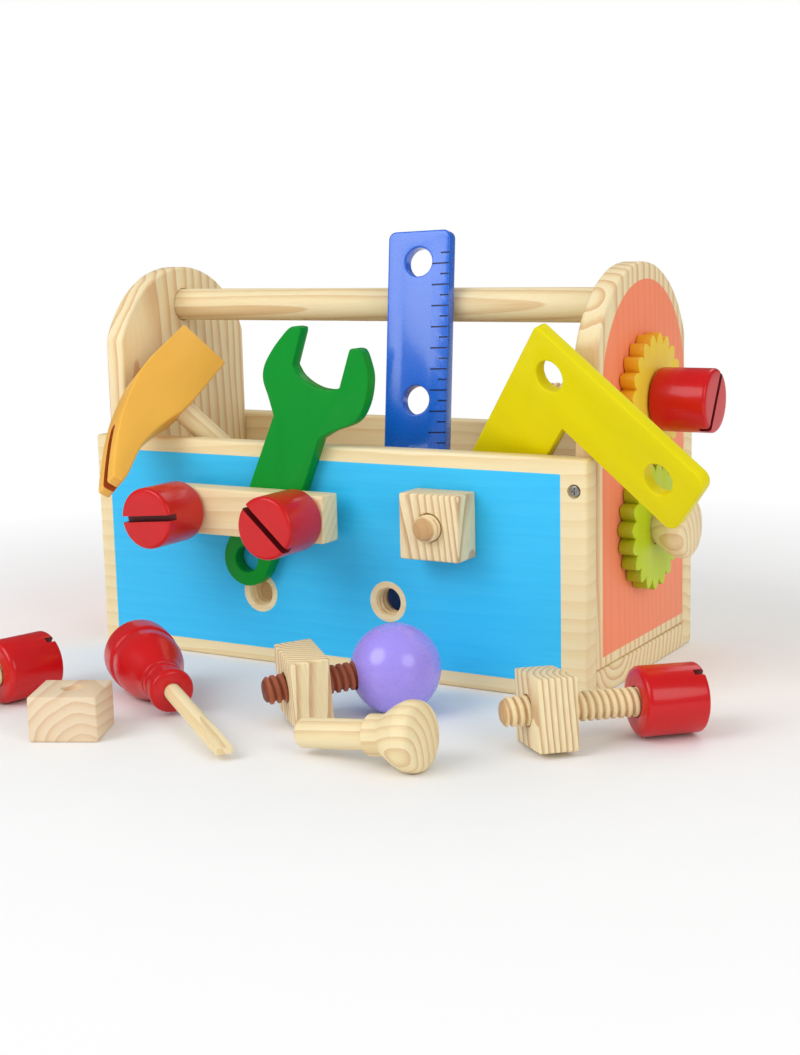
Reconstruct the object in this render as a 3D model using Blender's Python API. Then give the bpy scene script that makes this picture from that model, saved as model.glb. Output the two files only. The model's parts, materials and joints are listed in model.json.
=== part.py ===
"""Toy workbench: a wooden carry toolbox with clamped and loose play tools.

Metres, +Z up, +X along the box length to the gear end, -Y towards the printed front.
Origin at the centre of the box underside.  One object per physical piece.
"""
import math

import bmesh
import bpy
from mathutils import Matrix, Vector

MM = 0.001

# ------------------------------------------------------------------ driving dimensions (mm)
GAP = 0.3                      # clearance between neighbouring pieces
BOX_L, BOX_W = 300.0, 140.0    # overall length and width of the box
BOARD_T = 12.0                 # side, end board thickness
FLOOR_T = 13.0                 # bottom board thickness
SIDE_H = 119.3                 # height of the long side boards
END_H = 210.0                  # top of the arched end boards
ARCH_Z, ARCH_R = 148.0, 62.0   # centre height and radius of the arch
SHOULDER_Z = 170.0             # where the straight end board edge meets the arch
DOWEL_Z, DOWEL_R = 188.4, 9.0  # carry handle
DOWEL_SEAT = 5.0               # depth of the handle seats in the end boards

HOLE_R = 7.1                   # clearance hole for a play bolt
SHANK_R = 6.8                  # play bolt shank
HEAD_R, HEAD_L = 16.0, 30.0    # slotted play bolt head
HEAD_SEAT = 8.0                # shank seat inside the head
SHANK_L = 61.0                 # shank length below the head
SLOT_W, SLOT_D = 3.2, 5.5      # screwdriver slot in the head
UPPER_HOLES = (-74.0, 0.0, 74.0)
UPPER_Z = 84.5
LOWER_HOLES = ((-40.8, 38.4), (38.8, 40.6))

STRIP_X, STRIP_T = (-89.0, 15.2), 14.2
STRIP_Z = (72.5, 97.0)
WRENCH_T = 7.9
NUT_A, NUT_T = 33.0, 18.5      # square play nut: across flats, thickness
STOP_A, STOP_B, STOP_H = 32.4, 31.2, 21.4   # loose block

GEAR_T, GEAR_TIP, GEAR_ROOT = 8.0, 33.2, 28.0
GEAR_TEETH = 20
GEAR_Y, GEAR_Z_TOP, GEAR_Z_LOW = -1.5, 141.8, 77.6
GEAR_PHASE_TOP, GEAR_PHASE_LOW = 12.75, 14.25   # degrees
PEG_R, COLLAR_R, KNOB_R = 6.8, 9.3, 15.6

BALL_R = 21.9


# ------------------------------------------------------------------ scene helpers
def clear_scene():
    for ob in list(bpy.data.objects):
        bpy.data.objects.remove(ob, do_unlink=True)
    for mesh in list(bpy.data.meshes):
        bpy.data.meshes.remove(mesh)


def make_material(name, rgb, rough, metal=0.0, coat=0.0):
    mat = bpy.data.materials.new(name)
    mat.use_nodes = True
    shader = mat.node_tree.nodes["Principled BSDF"]
    shader.inputs["Base Color"].default_value = (*rgb, 1.0)
    shader.inputs["Roughness"].default_value = rough
    shader.inputs["Metallic"].default_value = metal
    shader.inputs["Coat Weight"].default_value = coat
    mat.diffuse_color = (*rgb, 1.0)
    return mat


def frame(origin, x_dir, y_dir):
    """Placement matrix from an origin (mm), a local x direction and an approximate local y."""
    x = Vector(x_dir).normalized()
    z = x.cross(Vector(y_dir)).normalized()
    y = z.cross(x)
    m = Matrix((x, y, z)).transposed().to_4x4()
    m.translation = Vector(origin) * MM
    return m


def along(origin, axis, up=(0.0, 0.0, 1.0), spin=0.0):
    """Placement whose local z runs along axis; spin turns it about that axis (degrees)."""
    z = Vector(axis).normalized()
    ref = Vector(up)
    if abs(z.dot(ref.normalized())) > 0.98:
        ref = Vector((1.0, 0.0, 0.0))
    x = ref.cross(z).normalized()
    y = z.cross(x)
    m = Matrix((x, y, z)).transposed().to_4x4() @ Matrix.Rotation(math.radians(spin), 4, "Z")
    m.translation = Vector(origin) * MM
    return m


def add_object(name, bm, mat, place=None):
    bmesh.ops.recalc_face_normals(bm, faces=bm.faces)
    mesh = bpy.data.meshes.new(name)
    bm.to_mesh(mesh)
    bm.free()
    ob = bpy.data.objects.new(name, mesh)
    bpy.context.scene.collection.objects.link(ob)
    if mat is not None:
        mesh.materials.append(mat)
    if place is not None:
        ob.matrix_world = place
    return ob


def box_mesh(x, y, z):
    bm = bmesh.new()
    bmesh.ops.create_cube(bm, size=1.0)
    size = Vector((x[1] - x[0], y[1] - y[0], z[1] - z[0])) * MM
    mid = Vector((x[0] + x[1], y[0] + y[1], z[0] + z[1])) * MM / 2
    for v in bm.verts:
        v.co = Vector((v.co.x * size.x, v.co.y * size.y, v.co.z * size.z)) + mid
    return bm


def plate_mesh(outline, z0, z1):
    """Closed prism over a flat outline (mm) between two local heights."""
    bm = bmesh.new()
    low = [bm.verts.new(Vector((u, v, z0)) * MM) for u, v in outline]
    high = [bm.verts.new(Vector((u, v, z1)) * MM) for u, v in outline]
    bm.faces.new(low[::-1])
    bm.faces.new(high)
    n = len(outline)
    for i in range(n):
        j = (i + 1) % n
        bm.faces.new((low[i], low[j], high[j], high[i]))
    return bm


def turned_mesh(profile, segments):
    """Solid of revolution about local z from (height, radius) pairs in mm."""
    bm = bmesh.new()
    rings = []
    for h, r in profile:
        if r < 1e-6:
            rings.append([bm.verts.new((0.0, 0.0, h * MM))])
            continue
        ring = []
        for i in range(segments):
            a = 2 * math.pi * i / segments
            ring.append(bm.verts.new((r * math.cos(a) * MM, r * math.sin(a) * MM, h * MM)))
        rings.append(ring)
    for a, b in zip(rings, rings[1:]):
        for i in range(segments):
            j = (i + 1) % segments
            if len(a) == 1:
                bm.faces.new((a[0], b[i], b[j]))
            elif len(b) == 1:
                bm.faces.new((a[i], a[j], b[0]))
            else:
                bm.faces.new((a[i], a[j], b[j], b[i]))
    if len(rings[0]) > 1:
        bm.faces.new(rings[0][::-1])
    if len(rings[-1]) > 1:
        bm.faces.new(rings[-1])
    return bm


def add_bevel(ob, width, segments=2, angle=40.0):
    mod = ob.modifiers.new("edge_rounding", "BEVEL")
    mod.width = width * MM
    mod.segments = segments
    mod.limit_method = "ANGLE"
    mod.angle_limit = math.radians(angle)
    mod.use_clamp_overlap = True


def cut(ob, cutter):
    mod = ob.modifiers.new("cut_" + cutter.name, "BOOLEAN")
    mod.operation = "DIFFERENCE"
    mod.solver = "EXACT"
    mod.object = cutter
    cutter.parent = None
    cutter.hide_render = True
    cutter.display_type = "WIRE"


def bore(ob, tag, origin, axis, radius, length, segments=24):
    """Round hole starting at origin and running along axis (all mm)."""
    bm = turned_mesh([(0.0, radius), (length, radius)], segments)
    cut(ob, add_object("cutter_" + tag, bm, None, along(origin, axis)))


def board(name, x, y, z, mat, rounding=1.6):
    ob = add_object(name, box_mesh(x, y, z), mat)
    add_bevel(ob, rounding, 1)
    return ob


# ------------------------------------------------------------------ outlines
def arc(cx, cy, r, a0, a1, n):
    pts = []
    for i in range(n + 1):
        a = math.radians(a0 + (a1 - a0) * i / n)
        pts.append((cx + r * math.cos(a), cy + r * math.sin(a)))
    return pts


def rounded_polygon(corners, steps=4):
    """Polygon whose corners (x, y, radius) are replaced by arcs."""
    out = []
    n = len(corners)
    for i in range(n):
        p0 = Vector(corners[i - 1][:2])
        p1 = Vector(corners[i][:2])
        p2 = Vector(corners[(i + 1) % n][:2])
        r = corners[i][2]
        if r <= 0:
            out.append(tuple(p1))
            continue
        a = (p0 - p1).normalized()
        b = (p2 - p1).normalized()
        half = a.angle(b) / 2
        reach = r / math.tan(half)
        centre = p1 + (a + b).normalized() * (r / math.sin(half))
        start, end = p1 + a * reach - centre, p1 + b * reach - centre
        turn = start.angle_signed(end)
        for k in range(steps + 1):
            t = -turn * k / steps
            c, s = math.cos(t), math.sin(t)
            out.append((centre.x + start.x * c - start.y * s, centre.y + start.x * s + start.y * c))
    return out


def smooth_closed(points, keep, steps=3):
    """Catmull-Rom curve through points; indices in keep stay sharp."""
    out = []
    n = len(points)
    for i in range(n):
        p1, p2 = Vector(points[i]), Vector(points[(i + 1) % n])
        p0 = Vector(points[i - 1]) if i not in keep else p1 - (p2 - p1)
        p3 = Vector(points[(i + 2) % n]) if (i + 1) % n not in keep else p2 + (p2 - p1)
        out.append(tuple(p1))
        if i in keep and (i + 1) % n in keep:
            continue
        for k in range(1, steps):
            t = k / steps
            q = 0.5 * ((2 * p1) + (p2 - p0) * t + (2 * p0 - 5 * p1 + 4 * p2 - p3) * t * t
                       + (3 * p1 - p0 - 3 * p2 + p3) * t ** 3)
            out.append(tuple(q))
    return out


def gear_outline(phase, samples=8):
    pts = []
    pitch = 2 * math.pi / GEAR_TEETH
    for k in range(GEAR_TEETH):
        for j in range(samples):
            x = j / samples
            fat = (1.0 - abs(2 * x - 1.0) ** 1.4) ** 0.75 if 0 < x < 1 else 0.0
            r = GEAR_ROOT + (GEAR_TIP - GEAR_ROOT) * fat
            a = math.radians(phase) + pitch * (k + x - 0.5)
            pts.append((r * math.cos(a), r * math.sin(a)))
    return pts


# ------------------------------------------------------------------ repeated pieces
def play_bolt(name, origin, axis, slot_spin, head_mat, shank_mat, slot=True, shank_l=SHANK_L):
    """Slotted head on a wooden shank; origin is the underside of the head, axis points to the slot."""
    head_profile = [(0.0, HEAD_R - 1.6), (1.6, HEAD_R), (HEAD_L - 2.0, HEAD_R),
                    (HEAD_L - 0.6, HEAD_R - 0.7), (HEAD_L, HEAD_R - 2.0)]
    head = add_object(name + "_head", turned_mesh(head_profile, 32), head_mat,
                      along(origin, axis, spin=slot_spin))
    bore(head, name + "_seat", origin, axis, SHANK_R + GAP, HEAD_SEAT + GAP)
    if slot:
        w, r = SLOT_W / 2, HEAD_R + 2
        bm = box_mesh((-r, r), (-w, w), (HEAD_L - SLOT_D, HEAD_L + 2))
        cut(head, add_object("cutter_" + name + "_slot", bm, None,
                             along(origin, axis, spin=slot_spin)))
    back = Vector(axis).normalized()
    start = Vector(origin) + back * HEAD_SEAT
    length = HEAD_SEAT + shank_l
    profile = [(0.0, SHANK_R), (length - 2.5, SHANK_R), (length - 0.8, SHANK_R - 0.9),
               (length, SHANK_R - 2.4)]
    shank = add_object(name + "_shank", turned_mesh(profile, 24), shank_mat, along(start, -back))
    return head, shank


def play_nut(name, centre, axis, side, mat):
    """Square nut bored along axis; side is the direction of one pair of flats."""
    a, t = NUT_A / 2, NUT_T / 2
    place = frame(centre, side, Vector(axis).cross(Vector(side)))
    nut = add_object(name, box_mesh((-a, a), (-a, a), (-t, t)), mat, place)
    add_bevel(nut, 0.8, 1)
    start = Vector(centre) - Vector(axis).normalized() * (t + 2)
    bore(nut, name + "_hole", start, axis, HOLE_R, NUT_T + 4)
    return nut


# Height, radius along the peg from the plain end: shank, collar, mushroom knob.
PEG_PROFILE = [(0.0, PEG_R - 2.2), (0.7, PEG_R - 0.8), (2.4, PEG_R), (37.0, PEG_R),
               (37.0, COLLAR_R - 0.7), (37.7, COLLAR_R), (45.0, COLLAR_R), (47.5, COLLAR_R + 1.6),
               (50.5, COLLAR_R + 3.6), (53.5, KNOB_R - 1.2), (56.5, KNOB_R), (60.0, KNOB_R),
               (62.4, KNOB_R - 0.7), (63.8, KNOB_R - 2.2)]


def peg(name, origin, axis, mat):
    return add_object(name, turned_mesh(PEG_PROFILE, 28), mat, along(origin, axis))


def screw(name, x, y_face, z, inward, steel, boards):
    """Small countersunk screw through a side board into the end board edge."""
    axis = (0.0, inward, 0.0)
    start = (x, y_face + inward * 0.6, z)
    profile = [(0.0, 3.1), (0.6, 3.1), (2.6, 1.4), (22.0, 1.4), (24.0, 0.5)]
    ob = add_object(name, turned_mesh(profile, 16), steel, along(start, axis))
    pilot = [(0.0, 3.5), (1.6, 3.5), (3.6, 1.7), (25.0, 1.7)]
    tool = add_object("cutter_" + name + "_pilot", turned_mesh(pilot, 16), None,
                      along((x, y_face - inward * 0.3, z), axis))
    for b in boards:
        cut(b, tool)
    return ob


# ------------------------------------------------------------------ build
clear_scene()

pine = make_material("pine", (0.80, 0.63, 0.36), 0.55)
pine_dark = make_material("pine_turned", (0.76, 0.58, 0.33), 0.55)
red = make_material("red_lacquer", (0.58, 0.02, 0.03), 0.32, coat=0.3)
green = make_material("green_lacquer", (0.0, 0.27, 0.05), 0.4, coat=0.2)
blue = make_material("blue_lacquer", (0.01, 0.10, 0.62), 0.3, coat=0.3)
yellow = make_material("yellow_lacquer", (0.72, 0.62, 0.0), 0.4, coat=0.2)
orange = make_material("orange_lacquer", (0.86, 0.42, 0.08), 0.4, coat=0.2)
amber = make_material("amber_lacquer", (0.88, 0.60, 0.06), 0.45, coat=0.1)
lime = make_material("lime_lacquer", (0.42, 0.58, 0.01), 0.45, coat=0.1)
purple = make_material("purple_lacquer", (0.34, 0.26, 0.80), 0.3, coat=0.3)
umber = make_material("stained_shank", (0.50, 0.16, 0.07), 0.5)
steel = make_material("screw_steel", (0.45, 0.45, 0.47), 0.35, metal=1.0)

HALF_L, HALF_W = BOX_L / 2, BOX_W / 2
INNER_L = HALF_L - BOARD_T
INNER_W = HALF_W - BOARD_T

# --- case boards
bottom = board("bottom_board", (-HALF_L, HALF_L), (-INNER_W + GAP, INNER_W - GAP),
               (0.0, FLOOR_T), pine, 1.0)
front = board("front_board", (-HALF_L, HALF_L), (-HALF_W, -INNER_W), (0.0, SIDE_H), pine, 1.8)
back = board("back_board", (-HALF_L, HALF_L), (INNER_W, HALF_W), (0.0, SIDE_H), pine, 1.8)

half = INNER_W - GAP
arch_start = math.degrees(math.asin((SHOULDER_Z - ARCH_Z) / ARCH_R))
end_outline = [(-half, FLOOR_T + GAP), (half, FLOOR_T + GAP)]
crown = [p for p in arc(0.0, ARCH_Z, ARCH_R, arch_start, 180.0 - arch_start, 30) if abs(p[0]) < half]
end_outline += [(half, SHOULDER_Z)] + crown + [(-half, SHOULDER_Z)]


def end_board(name, x0):
    place = frame((x0, 0.0, 0.0), (0.0, 1.0, 0.0), (0.0, 0.0, 1.0))
    ob = add_object(name, plate_mesh(end_outline, 0.0, BOARD_T), pine, place)
    add_bevel(ob, 1.8, 1)
    return ob


end_left = end_board("end_board_left", -HALF_L)
end_right = end_board("end_board_right", INNER_L)
seat = DOWEL_SEAT
for ob, sx in ((end_left, -1.0), (end_right, 1.0)):
    bore(ob, "handle_seat" + ("_r" if sx > 0 else "_l"), (sx * (INNER_L - 1.0), 0.0, DOWEL_Z),
         (sx, 0.0, 0.0), DOWEL_R + GAP, seat + 1.0 + GAP, 32)

reach = INNER_L + seat
handle = add_object("carry_handle", turned_mesh([(0.0, DOWEL_R), (2 * reach, DOWEL_R)], 32),
                    pine_dark, along((-reach, 0.0, DOWEL_Z), (1.0, 0.0, 0.0)))
add_bevel(handle, 0.6, 1)

# --- through holes of the front board and the gear end
for i, x in enumerate(UPPER_HOLES):
    bore(front, "upper_%d" % i, (x, -HALF_W - 2, UPPER_Z), (0.0, 1.0, 0.0), HOLE_R, BOARD_T + 4)
for i, (x, z) in enumerate(LOWER_HOLES):
    bore(front, "lower_%d" % i, (x, -HALF_W - 2, z), (0.0, 1.0, 0.0), HOLE_R, BOARD_T + 4)
for tag, z in (("top", GEAR_Z_TOP), ("low", GEAR_Z_LOW)):
    bore(end_right, "gear_" + tag, (INNER_L - 2, GEAR_Y, z), (1.0, 0.0, 0.0), HOLE_R, BOARD_T + 4)

# --- corner screws
SCREW_X, SCREW_Z = 143.2, 103.8
screw("screw_front_left", -SCREW_X, -HALF_W, SCREW_Z, 1.0, steel, (front, end_left))
screw("screw_front_right", SCREW_X, -HALF_W, SCREW_Z, 1.0, steel, (front, end_right))
screw("screw_back_left", -SCREW_X, HALF_W, SCREW_Z, -1.0, steel, (back, end_left))
screw("screw_back_right", SCREW_X, HALF_W, SCREW_Z, -1.0, steel, (back, end_right))

# --- clamp strip, wrench and the two front bolts
wrench_back = -HALF_W - GAP
strip_back = wrench_back - WRENCH_T - GAP
strip_front = strip_back - STRIP_T
strip = board("clamp_strip", STRIP_X, (strip_front, strip_back), STRIP_Z, pine, 0.8)
for i, x in enumerate(UPPER_HOLES[:2]):
    bore(strip, "strip_%d" % i, (x, strip_front - 2, UPPER_Z), (0.0, 1.0, 0.0), HOLE_R, STRIP_T + 4)

RING_C, RING_R, RING_HOLE = (-43.6, 57.8), 14.6, 7.0
wrench_pts = [(-10.8, 180.6), (-4.9, 180.8), (-4.4, 178.6), (-10.2, 161.5), (-6.8, 156.4),
              (-1.2, 152.4), (5.1, 149.9), (11.5, 149.2), (17.7, 150.2), (24.0, 168.6),
              (25.4, 170.2), (30.4, 169.8), (33.2, 164.2), (35.0, 154.9), (32.4, 142.3),
              (25.8, 133.0), (13.1, 128.2), (4.7, 123.7), (-6.4, 97.0), (-28.6, 55.0)]
wrench_pts += arc(RING_C[0], RING_C[1], RING_R, -15.0, -205.0, 14)
wrench_pts += [(-39.4, 98.5), (-23.1, 135.0), (-25.9, 144.5), (-28.9, 153.6), (-27.6, 161.2),
               (-22.6, 168.9), (-17.1, 175.1)]
sharp = [2, 3, 8, 9, 17, 18, 19] + list(range(20, 35)) + [35, 36]
wrench_line = smooth_closed(wrench_pts, set(sharp), 2)
place = frame((0.0, wrench_back, 0.0), (1.0, 0.0, 0.0), (0.0, 0.0, 1.0))
wrench = add_object("wrench", plate_mesh(wrench_line, 0.0, WRENCH_T), green, place)
add_bevel(wrench, 0.8, 1, 50)
bore(wrench, "wrench_ring", (RING_C[0], wrench_back - WRENCH_T - 2, RING_C[1]), (0.0, 1.0, 0.0),
     RING_HOLE, WRENCH_T + 4)

bolt_y = strip_front - GAP
play_bolt("front_bolt_left", (UPPER_HOLES[0], bolt_y, UPPER_Z), (0.0, -1.0, 0.0), 5.0, red, pine_dark)
play_bolt("front_bolt_mid", (UPPER_HOLES[1], bolt_y, UPPER_Z), (0.0, -1.0, 0.0), -42.0, red, pine_dark)

# --- inner bolt with its square nut on the front
nut_y = -HALF_W - GAP - NUT_T / 2
tip_y = -95.0
inner_head_y = tip_y + SHANK_L
play_bolt("inner_bolt", (UPPER_HOLES[2], inner_head_y, UPPER_Z), (0.0, 1.0, 0.0), 30.0, red, pine_dark)
play_nut("front_nut", (UPPER_HOLES[2], nut_y, UPPER_Z), (0.0, 1.0, 0.0), (1.0, 0.0, 0.0), pine)

# --- gear pair on the right end
gear_x = HALF_L + GAP + 0.1


def gear(name, z, phase, mat, bore_r):
    place = frame((gear_x, GEAR_Y, z), (0.0, 1.0, 0.0), (0.0, 0.0, 1.0))
    ob = add_object(name, plate_mesh(gear_outline(phase), 0.0, GEAR_T), mat, place)
    bore(ob, name + "_bore", (gear_x - 2, GEAR_Y, z), (1.0, 0.0, 0.0), bore_r, GEAR_T + 4, 28)
    return ob


gear("gear_upper", GEAR_Z_TOP, GEAR_PHASE_TOP, amber, HOLE_R)
gear("gear_lower", GEAR_Z_LOW, GEAR_PHASE_LOW, lime, COLLAR_R + GAP)
gear_face = gear_x + GEAR_T + GAP
play_bolt("gear_bolt", (gear_face, GEAR_Y, GEAR_Z_TOP), (1.0, 0.0, 0.0), 60.0, red, pine_dark)
peg("gear_peg", (gear_x - 37.0, GEAR_Y, GEAR_Z_LOW), (1.0, 0.0, 0.0), pine_dark)

# --- ruler leaning on the handle
RULER_W, RULER_T, RULER_L = 35.2, 8.0, 216.6
RULER_O = (11.3, -14.4, 227.0)
RULER_X, RULER_DOWN = (0.994, 0.103, 0.034), (0.051, -0.178, -0.983)
place = frame(RULER_O, RULER_X, RULER_DOWN)
ruler_line = rounded_polygon([(0, 0, 4.0), (RULER_W, 0, 4.0), (RULER_W, RULER_L, 4.0), (0, RULER_L, 4.0)], 5)
ruler = add_object("ruler", plate_mesh(ruler_line, 0.0, RULER_T), blue, place)
add_bevel(ruler, 0.7, 1, 50)
for i, v in enumerate((16.4, 89.0)):
    p = place @ (Vector((17.6, v, -2.0)) * MM) / MM
    bore(ruler, "ruler_%d" % i, p, place.to_3x3() @ Vector((0, 0, 1)), 7.6, RULER_T + 4)
# --- square hooked over the right front corner
SQUARE_O = (127.41, -78.11, 182.75)
SQUARE_X, SQUARE_Y = (0.774, -0.020, -0.633), (-0.580, 0.380, -0.722)
SQUARE_W, SQUARE_T, SQUARE_L, SQUARE_S = 37.1, 6.8, 110.4, 104.0
place = frame(SQUARE_O, SQUARE_X, SQUARE_Y)
square_line = rounded_polygon([(0, 0, 3.0), (SQUARE_L, 0, 6.0), (SQUARE_L, SQUARE_W, 6.0),
                               (SQUARE_W, SQUARE_W, 0.0), (SQUARE_W, SQUARE_S, 5.0),
                               (0, SQUARE_S, 5.0)], 5)
square = add_object("square", plate_mesh(square_line, 0.0, SQUARE_T), yellow, place)
add_bevel(square, 0.7, 1, 50)
for i, (u, v) in enumerate(((18.4, 17.9), (90.5, 18.5))):
    p = place @ (Vector((u, v, -2.0)) * MM) / MM
    bore(square, "square_%d" % i, p, place.to_3x3() @ Vector((0, 0, 1)), 7.8, SQUARE_T + 4)

# --- hammer: claw outside, grip inside the box
HAMMER_O = (-111.4, -35.5, 179.3)
HAMMER_U, HAMMER_V = (0.002, -0.895, -0.446), (0.621, 0.351, -0.701)
HAMMER_T, GRIP_R, GRIP_AT = 20.0, 6.6, 39.1
head_pts = [(-0.4, 0.4), (-0.6, 31.8), (37.0, 34.0), (49.3, 33.6), (58.0, 32.0), (67.6, 31.0),
            (77.8, 30.7), (86.3, 31.6), (96.0, 34.0), (104.6, 36.4), (111.6, 37.4), (113.4, 31.5),
            (104.2, 25.6), (90.3, 17.6), (78.3, 11.8), (69.6, 8.4), (57.8, 4.7), (47.5, 2.2),
            (34.2, 0.6)]
head_line = smooth_closed(head_pts, {0, 1, 2, 3, 10, 11, 18}, 2)
place = frame(HAMMER_O, HAMMER_U, HAMMER_V)
hammer = add_object("hammer_head", plate_mesh(head_line, -HAMMER_T / 2, HAMMER_T / 2), orange, place)
n_dir = place.to_3x3() @ Vector((0, 0, 1))
side_sign = 1.0 if n_dir.x > 0 else -1.0
hammer.matrix_world = Matrix.Translation(-n_dir * side_sign * HAMMER_T / 2 * MM) @ place
hp = hammer.matrix_world.copy()
add_bevel(hammer, 1.0, 1, 50)
slot_line = [(80.0, -12.0), (130.0, -12.0), (130.0, 60.0), (84.0, 60.0)]
claw = add_object("cutter_claw", plate_mesh(slot_line, -2.6, 2.6), None, hp)
cut(hammer, claw)
v_dir = hp.to_3x3() @ Vector((0, 1, 0))
p = hp @ (Vector((GRIP_AT, 12.0, 0.0)) * MM) / MM
bore(hammer, "grip_seat", p, v_dir, GRIP_R + GAP, 40.0)
GRIP_L = 150.0
p = hp @ (Vector((GRIP_AT, 12.0 + GAP, 0.0)) * MM) / MM
grip_profile = [(0.0, GRIP_R), (GRIP_L - 1.5, GRIP_R), (GRIP_L, GRIP_R - 1.5)]
add_object("hammer_grip", turned_mesh(grip_profile, 24), pine_dark, along(p, v_dir))

# --- loose pieces on the table in front of the box
A_DIR = (0.2571, 0.9664, 0.0)
play_bolt("loose_bolt_left", (-113.4, -196.9, HEAD_R + 0.05), A_DIR, -57.0, red, pine_dark)

place = frame((-54.11, -238.5, 0.0), (0.9004, 0.4350, 0.0), (-0.4350, 0.9004, 0.0))
block = add_object("loose_block", box_mesh((0.0, STOP_A), (0.0, STOP_B), (0.05, STOP_H)), pine, place)
add_bevel(block, 0.8, 1)
p = place @ (Vector((STOP_A * 0.52, STOP_B * 0.55, STOP_H - 2.5)) * MM) / MM
bore(block, "block_dimple", p, (0.0, 0.0, 1.0), 5.2, 5.0, 24)

# screwdriver: turned handle with a flat-ended wooden blade
DRIVER_O, DRIVER_TIP = (-61.35, -146.42, 18.15), (44.5, -221.0, 4.6)
driver_axis = Vector(DRIVER_TIP) - Vector(DRIVER_O)
driver_profile = [(-13.0, 11.5), (-11.5, 14.6), (-8.5, 17.2), (-5.0, 17.9), (4.5, 17.9), (6.5, 17.0),
                  (13.0, 17.2), (19.0, 16.2), (25.0, 14.0), (31.0, 11.6), (35.4, 10.4),
                  (36.2, 9.6), (37.0, 10.1), (39.8, 9.9), (40.6, 9.1), (41.4, 9.7), (46.0, 10.2),
                  (49.5, 10.9), (51.5, 10.6), (52.5, 9.4)]
driver = add_object("screwdriver_handle", turned_mesh(driver_profile, 32), red,
                    along(DRIVER_O, driver_axis))
seat_at = Vector(DRIVER_O) + driver_axis.normalized() * 36.0
bore(driver, "driver_seat", seat_at, driver_axis, 4.2 + GAP, 20.0)
blade_at = Vector(DRIVER_O) + driver_axis.normalized() * (36.0 + GAP)
BLADE_L, BLADE_R = 93.4, 4.2
blade_place = along(blade_at, driver_axis)
blade = add_object("screwdriver_blade", turned_mesh([(0.0, BLADE_R), (BLADE_L, BLADE_R)], 28),
                   pine_dark, blade_place)
for tag, sgn in (("top", 1.0), ("under", -1.0)):
    wedge = [(BLADE_L - 38.0, sgn * 4.6), (BLADE_L + 2.0, sgn * 1.3), (BLADE_L + 2.0, sgn * 9.0),
             (BLADE_L - 38.0, sgn * 9.0)]
    bm = bmesh.new()
    for x in (-8.0, 8.0):
        for z, y in wedge:
            bm.verts.new(Vector((x, y, z)) * MM)
    bmesh.ops.convex_hull(bm, input=bm.verts)
    cut(blade, add_object("cutter_blade_" + tag, bm, None, blade_place))

# ball-headed bolt with a nut
BALL_C = (73.53, -122.23, BALL_R + 0.05)
BALL_DIR = (0.667, 0.741, 0.069)
ball_axis = Vector(BALL_DIR).normalized()
bm = bmesh.new()
bmesh.ops.create_uvsphere(bm, u_segments=32, v_segments=20, radius=BALL_R * MM)
ball = add_object("ball_bolt_ball", bm, purple, along(BALL_C, ball_axis))
bore(ball, "ball_seat", Vector(BALL_C) - ball_axis * (BALL_R - 8.0 - GAP), -ball_axis,
     SHANK_R + GAP, 14.0)
start = Vector(BALL_C) - ball_axis * (BALL_R - 8.0)
BALL_SHANK_L = 51.0
add_object("ball_bolt_shank",
           turned_mesh([(0.0, SHANK_R), (BALL_SHANK_L - 2.5, SHANK_R),
                        (BALL_SHANK_L - 0.8, SHANK_R - 0.9), (BALL_SHANK_L, SHANK_R - 2.4)], 24),
           umber, along(start, -ball_axis))
nut_c = Vector(BALL_C) - ball_axis * 45.4
nut_side = Vector((0.0, 0.0, 1.0)).cross(ball_axis).normalized()
nut_side.rotate(Matrix.Rotation(math.radians(4.0), 3, ball_axis))
play_nut("ball_nut", nut_c, ball_axis, nut_side, pine)

# loose peg
peg("loose_peg", (66.8, -195.0, 9.2), (0.992, 0.0, 0.105), pine_dark)

# loose red bolt with a nut
F_NUT, F_AXIS = (161.8, -140.6, 17.9), (0.7100, 0.7040, -0.0140)
f_axis = Vector(F_AXIS).normalized()
head_at = Vector(F_NUT) + f_axis * 42.0
play_bolt("loose_bolt_right", head_at, f_axis, -60.0, red, pine_dark, shank_l=SHANK_L + 2.0)
nut_side = Vector((0.0, 0.0, 1.0)).cross(f_axis).normalized()
nut_side.rotate(Matrix.Rotation(math.radians(-5.0), 3, f_axis))
play_nut("loose_nut_right", F_NUT, f_axis, nut_side, pine)
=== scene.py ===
import json
import math

import bmesh
import bpy
from mathutils import Matrix, Vector


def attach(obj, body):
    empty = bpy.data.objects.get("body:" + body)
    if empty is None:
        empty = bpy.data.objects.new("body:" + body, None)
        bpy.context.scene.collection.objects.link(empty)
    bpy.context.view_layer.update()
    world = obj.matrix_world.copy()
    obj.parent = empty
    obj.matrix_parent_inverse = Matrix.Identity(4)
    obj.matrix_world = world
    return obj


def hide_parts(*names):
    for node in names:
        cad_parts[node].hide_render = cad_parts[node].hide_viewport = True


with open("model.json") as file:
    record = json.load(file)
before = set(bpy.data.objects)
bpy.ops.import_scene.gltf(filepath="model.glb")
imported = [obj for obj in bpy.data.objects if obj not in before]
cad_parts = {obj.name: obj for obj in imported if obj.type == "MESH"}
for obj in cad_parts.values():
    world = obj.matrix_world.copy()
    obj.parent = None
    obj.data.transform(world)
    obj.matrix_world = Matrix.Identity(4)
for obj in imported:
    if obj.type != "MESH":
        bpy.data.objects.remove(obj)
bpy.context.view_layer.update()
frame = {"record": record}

MM = 0.001
BODY = {n: b for b, group in frame["record"]["behaviour"]["bodies"].items() for n in group}

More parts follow.
